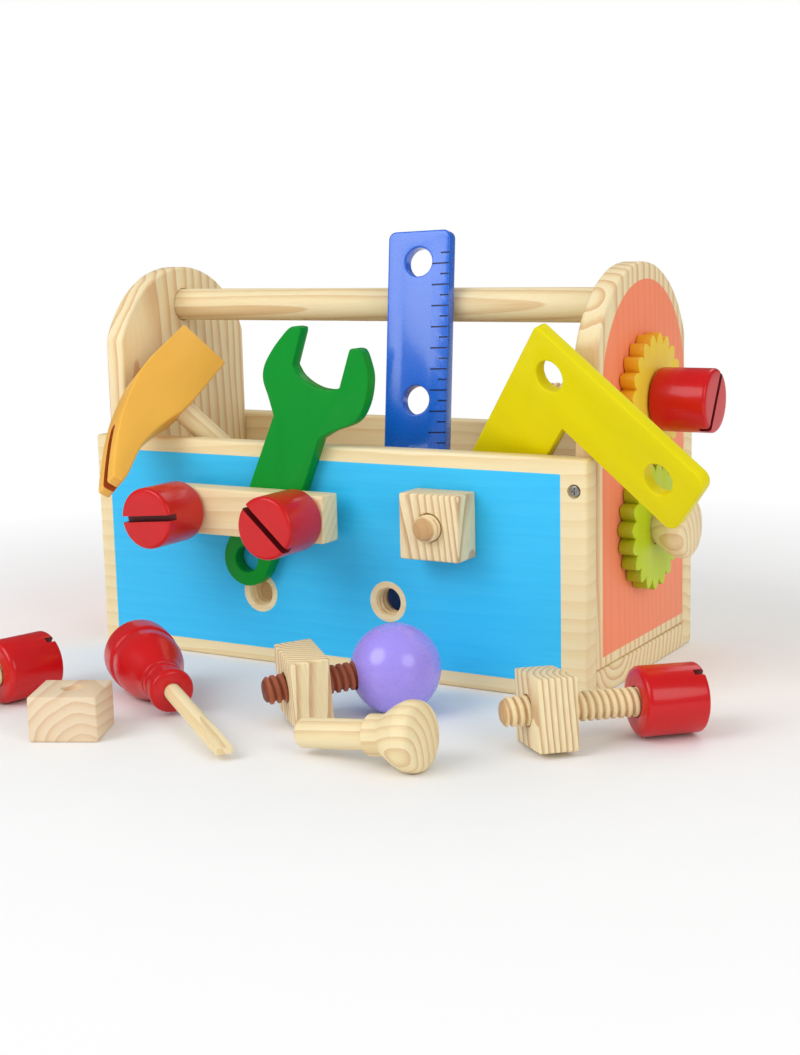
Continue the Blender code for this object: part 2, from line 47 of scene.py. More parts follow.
# ------------------------------------------------------------------ sizes shared with the solids (mm)
GAP = 0.3
HALF_L, HALF_W, BOARD_T, FLOOR_T, SIDE_H = 150.0, 70.0, 12.0, 13.0, 119.3
INNER_L, INNER_W = HALF_L - BOARD_T, HALF_W - BOARD_T
ARCH_Z, ARCH_R, SHOULDER_Z = 148.0, 62.0, 170.0
DOWEL_Z, DOWEL_R, DOWEL_SEAT = 188.4, 9.0, 5.0
HOLE_R, SHANK_R, THREAD_ROOT, PITCH = 7.1, 6.8, 5.5, 3.6
HEAD_R, HEAD_L, HEAD_SEAT, SHANK_L = 16.0, 30.0, 8.0, 61.0
SLOT_W, SLOT_D = 3.2, 5.5
UPPER_HOLES, UPPER_Z = (-74.0, 0.0, 74.0), 84.5
LOWER_HOLES = ((-40.8, 38.4), (38.8, 40.6))
SCREW_X, SCREW_Z = 143.2, 103.8
STRIP_X, STRIP_Z, STRIP_T, WRENCH_T = (-89.0, 15.2), (72.5, 97.0), 14.2, 7.9
NUT_A, NUT_T = 33.0, 18.5
GEAR_T, GEAR_TIP, GEAR_ROOT, GEAR_TEETH = 8.0, 33.2, 28.0, 20
GEAR_Y, GEAR_Z_TOP, GEAR_Z_LOW = -1.5, 141.8, 77.6
BALL_R = 21.9


# ------------------------------------------------------------------ materials
def srgb(r, g, b):
    def lin(c):
        c /= 255.0
        return c / 12.92 if c <= 0.04045 else ((c + 0.055) / 1.055) ** 2.4
    return (lin(r), lin(g), lin(b), 1.0)


class Tree:
    """Short way to build a node tree."""

    def __init__(self, name, rough=0.5, coat=0.0, coat_rough=0.1, metal=0.0, spec=0.5):
        self.mat = bpy.data.materials.new(name)
        self.mat.use_nodes = True
        self.nt = self.mat.node_tree
        self.bsdf = self.nt.nodes["Principled BSDF"]
        for key, value in (("Roughness", rough), ("Coat Weight", coat), ("Coat Roughness", coat_rough),
                           ("Metallic", metal), ("Specular IOR Level", spec)):
            self.bsdf.inputs[key].default_value = value

    def put(self, socket, value):
        if isinstance(value, bpy.types.NodeSocket):
            self.nt.links.new(value, socket)
        else:
            socket.default_value = value

    def math(self, op, a, b=0.0, clamp=False):
        n = self.nt.nodes.new("ShaderNodeMath")
        n.operation, n.use_clamp = op, clamp
        self.put(n.inputs[0], a)
        self.put(n.inputs[1], b)
        return n.outputs[0]

    def place(self, turn=(0, 0, 0), shift=(0, 0, 0), scale=(1, 1, 1)):
        tc = self.nt.nodes.new("ShaderNodeTexCoord")
        m = self.nt.nodes.new("ShaderNodeMapping")
        m.inputs["Rotation"].default_value = [math.radians(a) for a in turn]
        m.inputs["Location"].default_value = shift
        m.inputs["Scale"].default_value = scale
        self.nt.links.new(tc.outputs["Object"], m.inputs["Vector"])
        return m.outputs[0]

    def stretch(self, vec, scale):
        n = self.nt.nodes.new("ShaderNodeVectorMath")
        n.operation = "MULTIPLY"
        self.put(n.inputs[0], vec)
        n.inputs[1].default_value = scale
        return n.outputs[0]

    def noise(self, vec, scale, detail=2.0, rough=0.5):
        n = self.nt.nodes.new("ShaderNodeTexNoise")
        self.put(n.inputs["Vector"], vec)
        n.inputs["Scale"].default_value = scale
        n.inputs["Detail"].default_value = detail
        n.inputs["Roughness"].default_value = rough
        return n.outputs["Fac"]

    def ramp(self, fac, stops):
        n = self.nt.nodes.new("ShaderNodeValToRGB")
        self.put(n.inputs[0], fac)
        el = n.color_ramp.elements
        while len(el) < len(stops):
            el.new(0.5)
        for e, (pos, col) in zip(el, stops):
            e.position, e.color = pos, col
        return n.outputs[0]

    def mix(self, fac, a, b, kind="MIX"):
        n = self.nt.nodes.new("ShaderNodeMix")
        n.data_type, n.blend_type = "RGBA", kind
        self.put(n.inputs[0], fac)
        self.put(n.inputs[6], a)
        self.put(n.inputs[7], b)
        return n.outputs[2]

    def bump(self, height, strength, distance):
        n = self.nt.nodes.new("ShaderNodeBump")
        self.put(n.inputs["Height"], height)
        n.inputs["Strength"].default_value = strength
        n.inputs["Distance"].default_value = distance
        self.nt.links.new(n.outputs[0], self.bsdf.inputs["Normal"])

    def rough_by(self, fac, low, high):
        n = self.nt.nodes.new("ShaderNodeMapRange")
        self.put(n.inputs["Value"], fac)
        n.inputs["To Min"].default_value, n.inputs["To Max"].default_value = low, high
        self.nt.links.new(n.outputs[0], self.bsdf.inputs["Roughness"])


TURN = {"x": (0, -90, 0), "y": (90, 0, 0), "z": (0, 0, 0)}
PALE, WARM, LINE = srgb(246, 232, 194), srgb(241, 222, 174), srgb(222, 186, 130)
BAND, END_LINE = srgb(216, 164, 108), srgb(178, 116, 70)


def grain(t, along_axis, pith, spacing, tilt=(0, 0), warp=0.004, pale=PALE, warm=WARM, line=LINE,
          calm=0.95):
    """Growth rings about a pith line that runs with the grain. Returns colour, ring and fibre factors."""
    turn = [a + b for a, b in zip(TURN[along_axis], (tilt[0], tilt[1], 0))]
    vec = t.place(turn, (pith[0] * MM, pith[1] * MM, 0))
    slow = t.stretch(vec, (1, 1, 0.16))
    sep = t.nt.nodes.new("ShaderNodeSeparateXYZ")
    t.nt.links.new(vec, sep.inputs[0])
    x, y = sep.outputs[0], sep.outputs[1]
    radius = t.math("SQRT", t.math("ADD", t.math("MULTIPLY", x, x), t.math("MULTIPLY", y, y)))
    sway = t.math("MULTIPLY", t.math("SUBTRACT", t.noise(slow, 26.0, 2.0), 0.5), warp * 2)
    wobble = t.math("MULTIPLY", t.math("SUBTRACT", t.noise(slow, 210.0, 1.0), 0.5), warp * 0.18)
    ring = t.math("FRACT", t.math("DIVIDE", t.math("ADD", t.math("ADD", radius, sway), wobble), spacing * MM))
    colour = t.ramp(ring, ((0.0, pale), (0.5, warm), (0.86, line), (0.97, line), (1.0, pale)))
    strength = t.noise(slow, 40.0, 1.0)
    colour = t.mix(t.math("MULTIPLY", strength, calm, True), colour, warm)
    fibre = t.noise(t.stretch(vec, (1, 1, 0.025)), 1500.0, 2.0, 0.7)
    colour = t.mix(0.16, colour, t.ramp(fibre, ((0.3, line), (0.62, pale))))
    blotch = t.noise(vec, 22.0, 2.0)
    colour = t.mix(t.math("MULTIPLY", blotch, 0.22, True), colour, warm)
    return colour, ring, fibre


def pine(name, along_axis="x", pith=(30, 45), spacing=5.0, tilt=(2, 1), warp=0.004, groove_painted_shade=None, **tone):
    t = Tree(name, spec=0.35)
    colour, ring, fibre = grain(t, along_axis, pith, spacing, tilt, warp, **tone)
    # painted shade: where the radius is under 6.5 mm, in the thread grooves, the colour turns towards a
    # darker groove tone that stands in for the shade there
    if groove_painted_shade:
        sep = t.nt.nodes.new("ShaderNodeSeparateXYZ")
        t.nt.links.new(t.place(), sep.inputs[0])
        x, y = sep.outputs[0], sep.outputs[1]
        r = t.math("SQRT", t.math("ADD", t.math("MULTIPLY", x, x), t.math("MULTIPLY", y, y)))
        groove_shade_mask = t.math("MULTIPLY", t.math("SUBTRACT", 0.0065, r), 900.0, True)
        colour = t.mix(t.math("MULTIPLY", groove_shade_mask, 0.75), colour, groove_painted_shade)
    t.put(t.bsdf.inputs["Base Color"], colour)
    t.rough_by(fibre, 0.42, 0.62)
    t.bump(t.math("ADD", t.math("MULTIPLY", fibre, 0.6), t.math("MULTIPLY", ring, 0.5)), 0.25, 0.00025)
    return t.mat


def lacquer(name, colour, along_axis="z", rough=0.3, coat=0.35, relief=0.25, peel=420.0, shade=0.84,
            skin_height=0.5, spec=0.5):
    """Paint on wood: orange peel, faint raised grain and a slight drift in tone."""
    t = Tree(name, coat=coat, coat_rough=0.12, spec=spec)
    vec = t.place(TURN[along_axis])
    drift = t.noise(t.stretch(vec, (1, 1, 0.3)), 60.0, 3.0)
    dark = tuple(c * shade for c in colour[:3]) + (1.0,)
    light = tuple(min(1, c * 1.06) for c in colour[:3]) + (1.0,)
    t.put(t.bsdf.inputs["Base Color"], t.mix(drift, dark, light))
    skin = t.noise(vec, peel, 2.0)
    fibre = t.noise(t.stretch(vec, (1, 1, 0.05)), 520.0, 2.0)
    t.rough_by(skin, rough - 0.05, rough + 0.10)
    height = t.math("ADD", t.math("MULTIPLY", skin, skin_height), t.math("MULTIPLY", fibre, relief))
    t.bump(height, 0.14, 0.00022)
    return t.mat


def inside(t, value, low, high):
    """1 between two limits, with a hairline soft edge."""
    a = t.math("MULTIPLY", t.math("SUBTRACT", value, low), 6000.0, True)
    b = t.math("MULTIPLY", t.math("SUBTRACT", high, value), 6000.0, True)
    return t.math("MULTIPLY", a, b)


def disc(t, u, v, cu, cv, r):
    du, dv = t.math("SUBTRACT", u, cu), t.math("SUBTRACT", v, cv)
    d = t.math("SQRT", t.math("ADD", t.math("MULTIPLY", du, du), t.math("MULTIPLY", dv, dv)))
    return t.math("MULTIPLY", t.math("SUBTRACT", r, d), 6000.0, True)


def printed_front():
    t = Tree("printed_front_look", spec=0.4)
    colour, ring, fibre = grain(t, "x", (-150, 30), 7.5, (0.8, 1.2), 0.010, line=srgb(232, 202, 146))
    vec = t.place()
    sep = t.nt.nodes.new("ShaderNodeSeparateXYZ")
    t.nt.links.new(vec, sep.inputs[0])
    x, y, z = sep.outputs
    mask = t.math("MULTIPLY", inside(t, x, -0.1408, 0.1362), inside(t, z, 0.008, 0.1118))
    mask = t.math("MULTIPLY", mask, t.math("LESS_THAN", y, -0.0698))
    for hx, hz in LOWER_HOLES:
        bare = disc(t, x, z, hx * MM, hz * MM, 0.0107)
        mask = t.math("MULTIPLY", mask, t.math("SUBTRACT", 1.0, bare))
    streak = t.noise(t.stretch(vec, (0.05, 1, 1)), 420.0, 3.0, 0.65)
    ink = t.mix(streak, srgb(36, 190, 250), srgb(62, 203, 255))
    ink = t.mix(t.math("MULTIPLY", ring, 0.16), ink, srgb(26, 174, 236))
    t.put(t.bsdf.inputs["Base Color"], t.mix(mask, colour, ink))
    t.rough_by(fibre, 0.38, 0.55)
    t.bump(t.math("ADD", t.math("MULTIPLY", fibre, 0.6), t.math("MULTIPLY", ring, 0.08)), 0.16, 0.0002)
    return t.mat


def printed_end(side):
    t = Tree("printed_end_look" + ("_right" if side > 0 else "_left"), spec=0.4)
    # object coordinates of an end board: x across the box, y up, z through the thickness
    colour, ring, fibre = grain(t, "y", (35, 12 * side), 6.4, (3.0, 2.0), 0.007, line=BAND, calm=0.35)
    vec = t.place()
    sep = t.nt.nodes.new("ShaderNodeSeparateXYZ")
    t.nt.links.new(vec, sep.inputs[0])
    x, y, z = sep.outputs
    straight = t.math("MULTIPLY", inside(t, x, -0.052, 0.056), inside(t, y, 0.019, 0.1476))
    round_top = t.math("MULTIPLY", disc(t, x, y, 0.002, 0.1475, 0.054), t.math("GREATER_THAN", y, 0.1475))
    mask = t.math("MAXIMUM", straight, round_top)
    outer = t.math("GREATER_THAN", z, 0.0118) if side > 0 else t.math("LESS_THAN", z, 0.0002)
    mask = t.math("MULTIPLY", mask, outer)
    stripe = t.math("MULTIPLY", t.math("POWER", ring, 2.0), 0.4)
    ink = t.mix(stripe, srgb(254, 146, 104), srgb(242, 126, 86))
    t.put(t.bsdf.inputs["Base Color"], t.mix(mask, colour, ink))
    t.rough_by(fibre, 0.4, 0.56)
    t.bump(t.math("ADD", t.math("MULTIPLY", fibre, 0.6), t.math("MULTIPLY", ring, 0.12)), 0.18, 0.0002)
    return t.mat


def steel():
    t = Tree("screw_steel_look", rough=0.35, metal=1.0)
    vec = t.place()
    scratch = t.noise(t.stretch(vec, (1, 1, 0.2)), 2600.0, 3.0)
    t.put(t.bsdf.inputs["Base Color"], t.mix(scratch, srgb(120, 118, 116), srgb(190, 188, 184)))
    t.rough_by(scratch, 0.25, 0.5)
    return t.mat


# ------------------------------------------------------------------ shape helpers (mm in, metres out)
def at(origin, x_dir, y_dir):
    x = Vector(x_dir).normalized()
    z = x.cross(Vector(y_dir)).normalized()
    m = Matrix((x, z.cross(x), z)).transposed().to_4x4()
    m.translation = Vector(origin) * MM
    return m


def along(origin, axis, spin=0.0, up=(0.0, 0.0, 1.0)):
    z = Vector(axis).normalized()
    ref = Vector(up)
    if abs(z.dot(ref.normalized())) > 0.98:
        ref = Vector((1.0, 0.0, 0.0))
    x = ref.cross(z).normalized()
    m = Matrix((x, z.cross(x), z)).transposed().to_4x4() @ Matrix.Rotation(math.radians(spin), 4, "Z")
    m.translation = Vector(origin) * MM
    return m


def box_mesh(x, y, z):
    bm = bmesh.new()
    bmesh.ops.create_cube(bm, size=1.0)
    for v in bm.verts:
        v.co = Vector([((a[0] + a[1]) / 2 + c * (a[1] - a[0])) * MM for a, c in zip((x, y, z), v.co)])
    return bm


def plate_mesh(outline, z0, z1):
    bm = bmesh.new()
    low = [bm.verts.new(Vector((u, v, z0)) * MM) for u, v in outline]
    high = [bm.verts.new(Vector((u, v, z1)) * MM) for u, v in outline]
    bm.faces.new(low[::-1])
    bm.faces.new(high)
    for i in range(len(outline)):
        j = (i + 1) % len(outline)
        bm.faces.new((low[i], low[j], high[j], high[i]))
    return bm


def lathe(rings, segments, radius_at=None):
    """Closed solid of revolution from (height, radius); radius_at(height, angle, radius) may shape it."""
    bm = bmesh.new()
    rows = []
    for h, r in rings:
        row = []
        for i in range(segments):
            a = 2 * math.pi * i / segments
            q = r if radius_at is None else radius_at(h, a, r)
            row.append(bm.verts.new((q * math.cos(a) * MM, q * math.sin(a) * MM, h * MM)))
        rows.append(row)
    for a, b in zip(rows, rows[1:]):
        for i in range(segments):
            j = (i + 1) % segments
            bm.faces.new((a[i], a[j], b[j], b[i]))
    bm.faces.new(rows[0][::-1])
    bm.faces.new(rows[-1])
    return bm


def eased(profile, steps=5):
    """Catmull-Rom curve through a turned profile."""
    out = []
    for i in range(len(profile) - 1):
        p0 = Vector(profile[max(i - 1, 0)])
        p1, p2 = Vector(profile[i]), Vector(profile[i + 1])
        p3 = Vector(profile[min(i + 2, len(profile) - 1)])
        for k in range(steps):
            s = k / steps
            q = 0.5 * (2 * p1 + (p2 - p0) * s + (2 * p0 - 5 * p1 + 4 * p2 - p3) * s * s
                       + (3 * p1 - p0 - 3 * p2 + p3) * s ** 3)
            out.append((q.x, q.y))
    out.append(tuple(profile[-1]))
    return out


def arc(cx, cy, r, a0, a1, n):
    return [(cx + r * math.cos(math.radians(a0 + (a1 - a0) * i / n)),
             cy + r * math.sin(math.radians(a0 + (a1 - a0) * i / n))) for i in range(n + 1)]


def rounded_polygon(corners, steps=10):
    out = []
    n = len(corners)
    for i in range(n):
        p0, p1, p2 = Vector(corners[i - 1][:2]), Vector(corners[i][:2]), Vector(corners[(i + 1) % n][:2])
        r = corners[i][2]
        if r <= 0:
            out.append(tuple(p1))
            continue
        a, b = (p0 - p1).normalized(), (p2 - p1).normalized()
        half = a.angle(b) / 2
        reach = r / math.tan(half)
        centre = p1 + (a + b).normalized() * (r / math.sin(half))
        start, end = p1 + a * reach - centre, p1 + b * reach - centre
        turn = start.angle_signed(end)
        for k in range(steps + 1):
            s = -turn * k / steps
            out.append((centre.x + start.x * math.cos(s) - start.y * math.sin(s),
                        centre.y + start.x * math.sin(s) + start.y * math.cos(s)))
    return out


def smooth_closed(points, keep, steps=8):
    out = []
    n = len(points)
    for i in range(n):
        p1, p2 = Vector(points[i]), Vector(points[(i + 1) % n])
        p0 = Vector(points[i - 1]) if i not in keep else p1 - (p2 - p1)
        p3 = Vector(points[(i + 2) % n]) if (i + 1) % n not in keep else p2 + (p2 - p1)
        out.append(tuple(p1))
        if i in keep and (i + 1) % n in keep:
            continue
        for k in range(1, steps):
            s = k / steps
            out.append(tuple(0.5 * ((2 * p1) + (p2 - p0) * s + (2 * p0 - 5 * p1 + 4 * p2 - p3) * s * s
                                    + (3 * p1 - p0 - 3 * p2 + p3) * s ** 3)))
    return out


def loose_object(name, bm, place, mat):
    bmesh.ops.recalc_face_normals(bm, faces=bm.faces)
    mesh = bpy.data.meshes.new(name)
    bm.to_mesh(mesh)
    bm.free()
    ob = bpy.data.objects.new(name, mesh)
    bpy.context.scene.collection.objects.link(ob)
    ob.matrix_world = place
    if mat is not None:
        mesh.materials.append(mat)
    return ob


def piece(node, bm, place, mat, edge=0.0, rounds=3, limit=40.0, cutters=(), smooth=38.0, painted_shade_side_mat=None):
    """One finished visible piece that stands for a CAD node."""
    ob = loose_object(node + "_look", bm, place, mat)
    if edge:
        mod = ob.modifiers.new("rounding", "BEVEL")
        mod.width, mod.segments = edge * MM, rounds
        mod.limit_method, mod.angle_limit = "ANGLE", math.radians(limit)
    for tool in cutters:
        if not tool.data.materials:
            tool.data.materials.append(mat)
        mod = ob.modifiers.new("cut", "BOOLEAN")
        mod.operation, mod.solver, mod.object = "DIFFERENCE", "EXACT", tool
        mod.material_mode = "TRANSFER"
    bpy.context.view_layer.update()
    dg = bpy.context.evaluated_depsgraph_get()
    mesh = bpy.data.meshes.new_from_object(ob.evaluated_get(dg))
    ob.modifiers.clear()
    ob.data = mesh
    for tool in cutters:
        bpy.data.objects.remove(tool)
    # faces turned sideways get the second, darker material: painted shade
    if painted_shade_side_mat is not None:
        mesh.materials.append(painted_shade_side_mat)
        slot = len(mesh.materials) - 1
        for f in mesh.polygons:
            if abs(f.normal.z) < 0.6:
                f.material_index = slot
    fine = bmesh.new()
    fine.from_mesh(mesh)
    for f in fine.faces:
        f.smooth = True
    for e in fine.edges:
        e.smooth = len(e.link_faces) == 2 and e.calc_face_angle(0.0) < math.radians(smooth)
    fine.to_mesh(mesh)
    fine.free()
    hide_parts(node)
    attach(ob, BODY[node])
    return ob


def hole(origin, axis, r, depth, flare=0.6, through=True, seg=64, mat=None):
    """Cutter for a round hole with eased rims; origin is on the entry face."""
    rim = [(flare * (1 - math.cos(a)), r + flare * (1 - math.sin(a)))
           for a in [math.radians(15 * k) for k in range(7)]]
    rings = [(-3.0, r + flare)] + rim
    if through:
        rings += [(depth - h, q) for h, q in reversed(rim)] + [(depth + 3.0, r + flare)]
    else:
        rings += [(depth, r)]
    return loose_object("tool", lathe(rings, seg), along(origin, axis), mat)


def plain_bore(r, depth, place, seg=56):
    return loose_object("tool", lathe([(0.0, r), (depth, r)], seg), place, None)


def slab(x, y, z, place, mat=None):
    return loose_object("tool", box_mesh(x, y, z), place, mat)


def local_point(place, u, v, w=0.0):
    """A point given in a piece's own millimetres, in world millimetres."""
    return place @ (Vector((u, v, w)) * MM) / MM


# ------------------------------------------------------------------ repeated pieces
def thread(length, tip=2.5, seg=48, per_turn=9, crest=SHANK_R, root=THREAD_ROOT):
    """Right-hand wooden thread with rounded crests and narrow grooves, local z from the head to the tip."""
    def shape(h, a, r):
        swing = math.sin(math.pi * h / PITCH - a / 2) ** 2
        wave = min(1.0, max(0.0, (swing - 0.16) / 0.62))
        return min(r, root + (crest - root) * math.sin(wave * math.pi / 2) ** 0.9)
    rows = int(length / PITCH * per_turn)
    rings = []
    for i in range(rows + 1):
        h = length * i / rows
        end = max(0.0, h - (length - tip)) / tip
        start = max(0.0, 0.6 - h) / 0.6
        rings.append((h, crest - 2.4 * end ** 1.6 - 0.8 * start))
    return lathe(rings, seg, shape)


def play_bolt(name, origin, axis, spin, shank_l=SHANK_L):
    """Red slotted head and wooden threaded shank; origin is the head's underside, axis points to its top."""
    e = 1.8
    shoulder = [(0.0, 3.2), (0.25, 1.9), (0.9, 0.8), (1.8, 0.15), (2.8, 0.0)]
    prof = [(h, HEAD_R - inset) for h, inset in shoulder]
    prof += [(HEAD_L - e + e * math.sin(math.radians(k)), HEAD_R - e + e * math.cos(math.radians(k)))
             for k in range(0, 91, 15)]
    prof += [(HEAD_L, HEAD_R - 5.0)]
    place = along(origin, axis, spin)
    w, r = SLOT_W / 2, HEAD_R + 2
    back = Vector(axis).normalized()
    # the slot cutter hands its darker red to the slot faces: painted shade
    tools = [hole(origin, axis, SHANK_R + GAP, HEAD_SEAT + GAP, 0.5, False, 48),
             slab((-r, r), (-w, w), (HEAD_L - SLOT_D, HEAD_L + 2), place, red_slot_painted_shade)]
    piece(name + "_head", lathe(prof, 96), place, red, cutters=tools, smooth=32.0)
    start = Vector(origin) + back * HEAD_SEAT
    piece(name + "_shank", thread(HEAD_SEAT + shank_l), along(start, -back), turned_thread, smooth=70.0)


def play_nut(node, centre, axis, side, mat):
    a, t = NUT_A / 2, NUT_T / 2
    place = at(centre, side, Vector(axis).cross(Vector(side)))
    start = Vector(centre) - Vector(axis).normalized() * t
    piece(node, box_mesh((-a, a), (-a, a), (-t, t)), place, mat, edge=1.0, rounds=3,
          cutters=[hole(start, axis, HOLE_R, NUT_T, 0.7)])


PEG_SHANK = [(0.0, 4.2), (0.25, 5.2), (0.9, 6.1), (2.4, 6.8), (36.6, 6.8), (37.0, 7.2),
             (37.1, 8.6), (37.7, 9.3)]
PEG_KNOB = [(45.0, 9.3), (47.5, 10.9), (50.5, 12.9), (53.5, 14.4), (56.5, 15.6), (60.0, 15.6), (62.4, 14.9),
            (63.8, 13.2)]


def peg(node, origin, axis):
    piece(node, lathe(PEG_SHANK + eased(PEG_KNOB, 5), 72), along(origin, axis), turned, smooth=40.0)


def gear_outline(phase, samples=18):
    pts = []
    step = 2 * math.pi / GEAR_TEETH
    for k in range(GEAR_TEETH):
        for j in range(samples):
            x = j / samples
            fat = (1.0 - abs(2 * x - 1.0) ** 1.4) ** 0.75 if 0 < x < 1 else 0.0
            r = GEAR_ROOT + (GEAR_TIP - GEAR_ROOT) * fat
            a = math.radians(phase) + step * (k + x - 0.5)
            pts.append((r * math.cos(a), r * math.sin(a)))
    return pts


# ------------------------------------------------------------------ finishes
red = lacquer("red_look", srgb(208, 14, 20), rough=0.30, coat=0.35, relief=0.5, spec=0.25)
# painted shade: a darker red for the faces cut by the head slot, standing in for the shade inside the slot
red_slot_painted_shade = lacquer("red_groove_look", srgb(120, 12, 20), rough=0.45, coat=0.1)
green = lacquer("green_look", srgb(0, 148, 44), "y", rough=0.36, coat=0.08, relief=0.6, spec=0.15)
blue = lacquer("blue_look", srgb(0, 104, 228), "y", rough=0.26, coat=0.8, relief=0.7, peel=900.0)
blue_tick = lacquer("blue_tick_look", srgb(4, 34, 96), "y", rough=0.4, coat=0.1)
yellow = lacquer("yellow_look", srgb(230, 216, 0), "x", rough=0.36, coat=0.08, relief=0.6,
                 shade=0.92, spec=0.15)
orange = lacquer("orange_look", srgb(255, 190, 76), "x", rough=0.38, coat=0.12, relief=1.0, spec=0.3)
# painted shade: a darker orange for the faces cut by the claw's slot, standing in for the shade inside it
orange_slot_painted_shade = lacquer("orange_cut_look", srgb(190, 86, 22), "x", rough=0.5, coat=0.0)
amber = lacquer("amber_look", srgb(255, 218, 66), "y", rough=0.4, coat=0.1, relief=0.8, spec=0.25)
# painted shade: the two side paints below are darker copies of the gear paints, for the faces turned
# sideways, standing in for the shade there
amber_painted_shade_side = lacquer("amber_side_look", srgb(246, 182, 28), "y", rough=0.42, coat=0.15)
lime = lacquer("lime_look", srgb(196, 218, 22), "y", rough=0.4, coat=0.1, relief=0.8, spec=0.25)
lime_painted_shade_side = lacquer("lime_side_look", srgb(172, 184, 6), "y", rough=0.42, coat=0.15)
purple = lacquer("purple_look", srgb(166, 148, 250), rough=0.26, coat=0.5, relief=0.03,
                 shade=0.93, skin_height=0.08)
turned = pine("pine_turned_look", "z", (20, 12), 5.0, (3, 2), 0.003, line=srgb(212, 168, 116), calm=0.8)
blade_wood = pine("pine_blade_look", "z", (60, 40), 9.0, (0.5, 0.5), 0.002)
# the darker groove colours given to the two threaded shanks below are painted shade for their thread grooves
turned_thread = pine("pine_thread_look", "z", (4, 3), 4.6, (1, 1), 0.003,
                     pale=srgb(248, 230, 188), warm=srgb(242, 220, 172), line=srgb(220, 180, 124),
                     groove_painted_shade=srgb(186, 136, 80))
umber = pine("stained_shank_look", "z", (4, 3), 4.0, (1, 1), 0.003,
             pale=srgb(190, 112, 80), warm=srgb(172, 92, 62), line=srgb(128, 62, 40),
             groove_painted_shade=srgb(104, 46, 30))
block_wood = pine("pine_block_look", "y", (-26, -4), 4.8, (5, 4), 0.004,
                  pale=srgb(238, 222, 196), warm=srgb(232, 208, 174), line=srgb(214, 174, 134), calm=0.7)
nut_wood = [pine("pine_nut_look_%d" % i, "y", p, 2.9, (5, -4), 0.003, line=END_LINE, calm=0.55)
            for i, p in enumerate(((22, 9), (-20, 14), (12, 28)))]
floor_wood = pine("pine_bottom_look", "x", (20, 34), 5.0, (1, 1), line=BAND, calm=0.3)
back_wood = pine("pine_back_look", "x", (-150, -30), 7.5, (0.8, 1.2), 0.010)
strip_wood = pine("pine_strip_look", "x", (26, 18), 4.4, (1, 2))
metal = steel()

# ------------------------------------------------------------------ case
piece("bottom_board", box_mesh((-HALF_L, HALF_L), (GAP - INNER_W, INNER_W - GAP), (0, FLOOR_T)),
      Matrix.Identity(4), floor_wood, edge=1.0)


def screw_pits(x, y_face, inward):
    rings = [(-2.0, 3.5), (1.6, 3.5), (3.6, 1.7), (25.0, 1.7)]
    return loose_object("tool", lathe(rings, 40), along((x, y_face, SCREW_Z), (0, inward, 0)), None)


front_tools = [hole((x, -HALF_W, UPPER_Z), (0, 1, 0), HOLE_R, BOARD_T) for x in UPPER_HOLES]
front_tools += [hole((x, -HALF_W, z), (0, 1, 0), HOLE_R, BOARD_T, 0.9, mat=turned_thread)
                for x, z in LOWER_HOLES]
front_tools += [screw_pits(s * SCREW_X, -HALF_W, 1.0) for s in (-1, 1)]
piece("front_board", box_mesh((-HALF_L, HALF_L), (-HALF_W, -INNER_W), (0, SIDE_H)), Matrix.Identity(4),
      printed_front(), edge=1.8, cutters=front_tools)
piece("back_board", box_mesh((-HALF_L, HALF_L), (INNER_W, HALF_W), (0, SIDE_H)), Matrix.Identity(4),
      back_wood, edge=1.8, cutters=[screw_pits(s * SCREW_X, HALF_W, -1.0) for s in (-1, 1)])

half = INNER_W - GAP
arch_start = math.degrees(math.asin((SHOULDER_Z - ARCH_Z) / ARCH_R))
crown = [p for p in arc(0.0, ARCH_Z, ARCH_R, arch_start, 180.0 - arch_start, 96) if abs(p[0]) < half]
end_outline = [(-half, FLOOR_T + GAP), (half, FLOOR_T + GAP), (half, SHOULDER_Z)]
end_outline += crown + [(-half, SHOULDER_Z)]
for node, side, x0 in (("end_board_left", -1, -HALF_L), ("end_board_right", 1, INNER_L)):
    tools = [hole((side * INNER_L, 0.0, DOWEL_Z), (side, 0, 0), DOWEL_R + GAP, DOWEL_SEAT + GAP, 0.3, False)]
    tools += [screw_pits(side * SCREW_X, -HALF_W, 1.0), screw_pits(side * SCREW_X, HALF_W, -1.0)]
    if side > 0:
        tools += [hole((INNER_L, GEAR_Y, z), (1, 0, 0), HOLE_R, BOARD_T) for z in (GEAR_Z_TOP, GEAR_Z_LOW)]
    piece(node, plate_mesh(end_outline, 0.0, BOARD_T), at((x0, 0, 0), (0, 1, 0), (0, 0, 1)),
          printed_end(side), edge=1.8, cutters=tools)

reach = INNER_L + DOWEL_SEAT
ease = 0.6
dowel = [(0.0, DOWEL_R - ease), (ease, DOWEL_R), (2 * reach - ease, DOWEL_R), (2 * reach, DOWEL_R - ease)]
piece("carry_handle", lathe(dowel, 80), along((-reach, 0.0, DOWEL_Z), (1, 0, 0)), turned)

SCREW_RINGS = [(0.0, 2.2), (0.15, 2.5), (0.6, 2.6), (2.6, 1.4), (22.0, 1.4), (24.0, 0.5)]
LONG_WAY, THIN_WAY = (-1.6, 1.6), (-0.35, 0.35)
for node, sx, sy in (("screw_front_left", -1, -1), ("screw_front_right", 1, -1),
                     ("screw_back_left", -1, 1), ("screw_back_right", 1, 1)):
    place = along((sx * SCREW_X, sy * (HALF_W - 0.6), SCREW_Z), (0.0, -float(sy), 0.0))
    cross = [slab(LONG_WAY, THIN_WAY, (-1, 1.0), place), slab(THIN_WAY, LONG_WAY, (-1, 1.0), place)]
    piece(node, lathe(SCREW_RINGS, 40), place, metal, cutters=cross)

LINER_IN, LINER_OUT, LINER_DEPTH, LINER_SETBACK, FADE_ROWS = 7.05, 7.4, 0.75, 1.5, 4


def ring_between(bm, p, q):
    for s in range(len(p)):
        j = (s + 1) % len(p)
        bm.faces.new((p[s], p[j], q[j], q[s]))


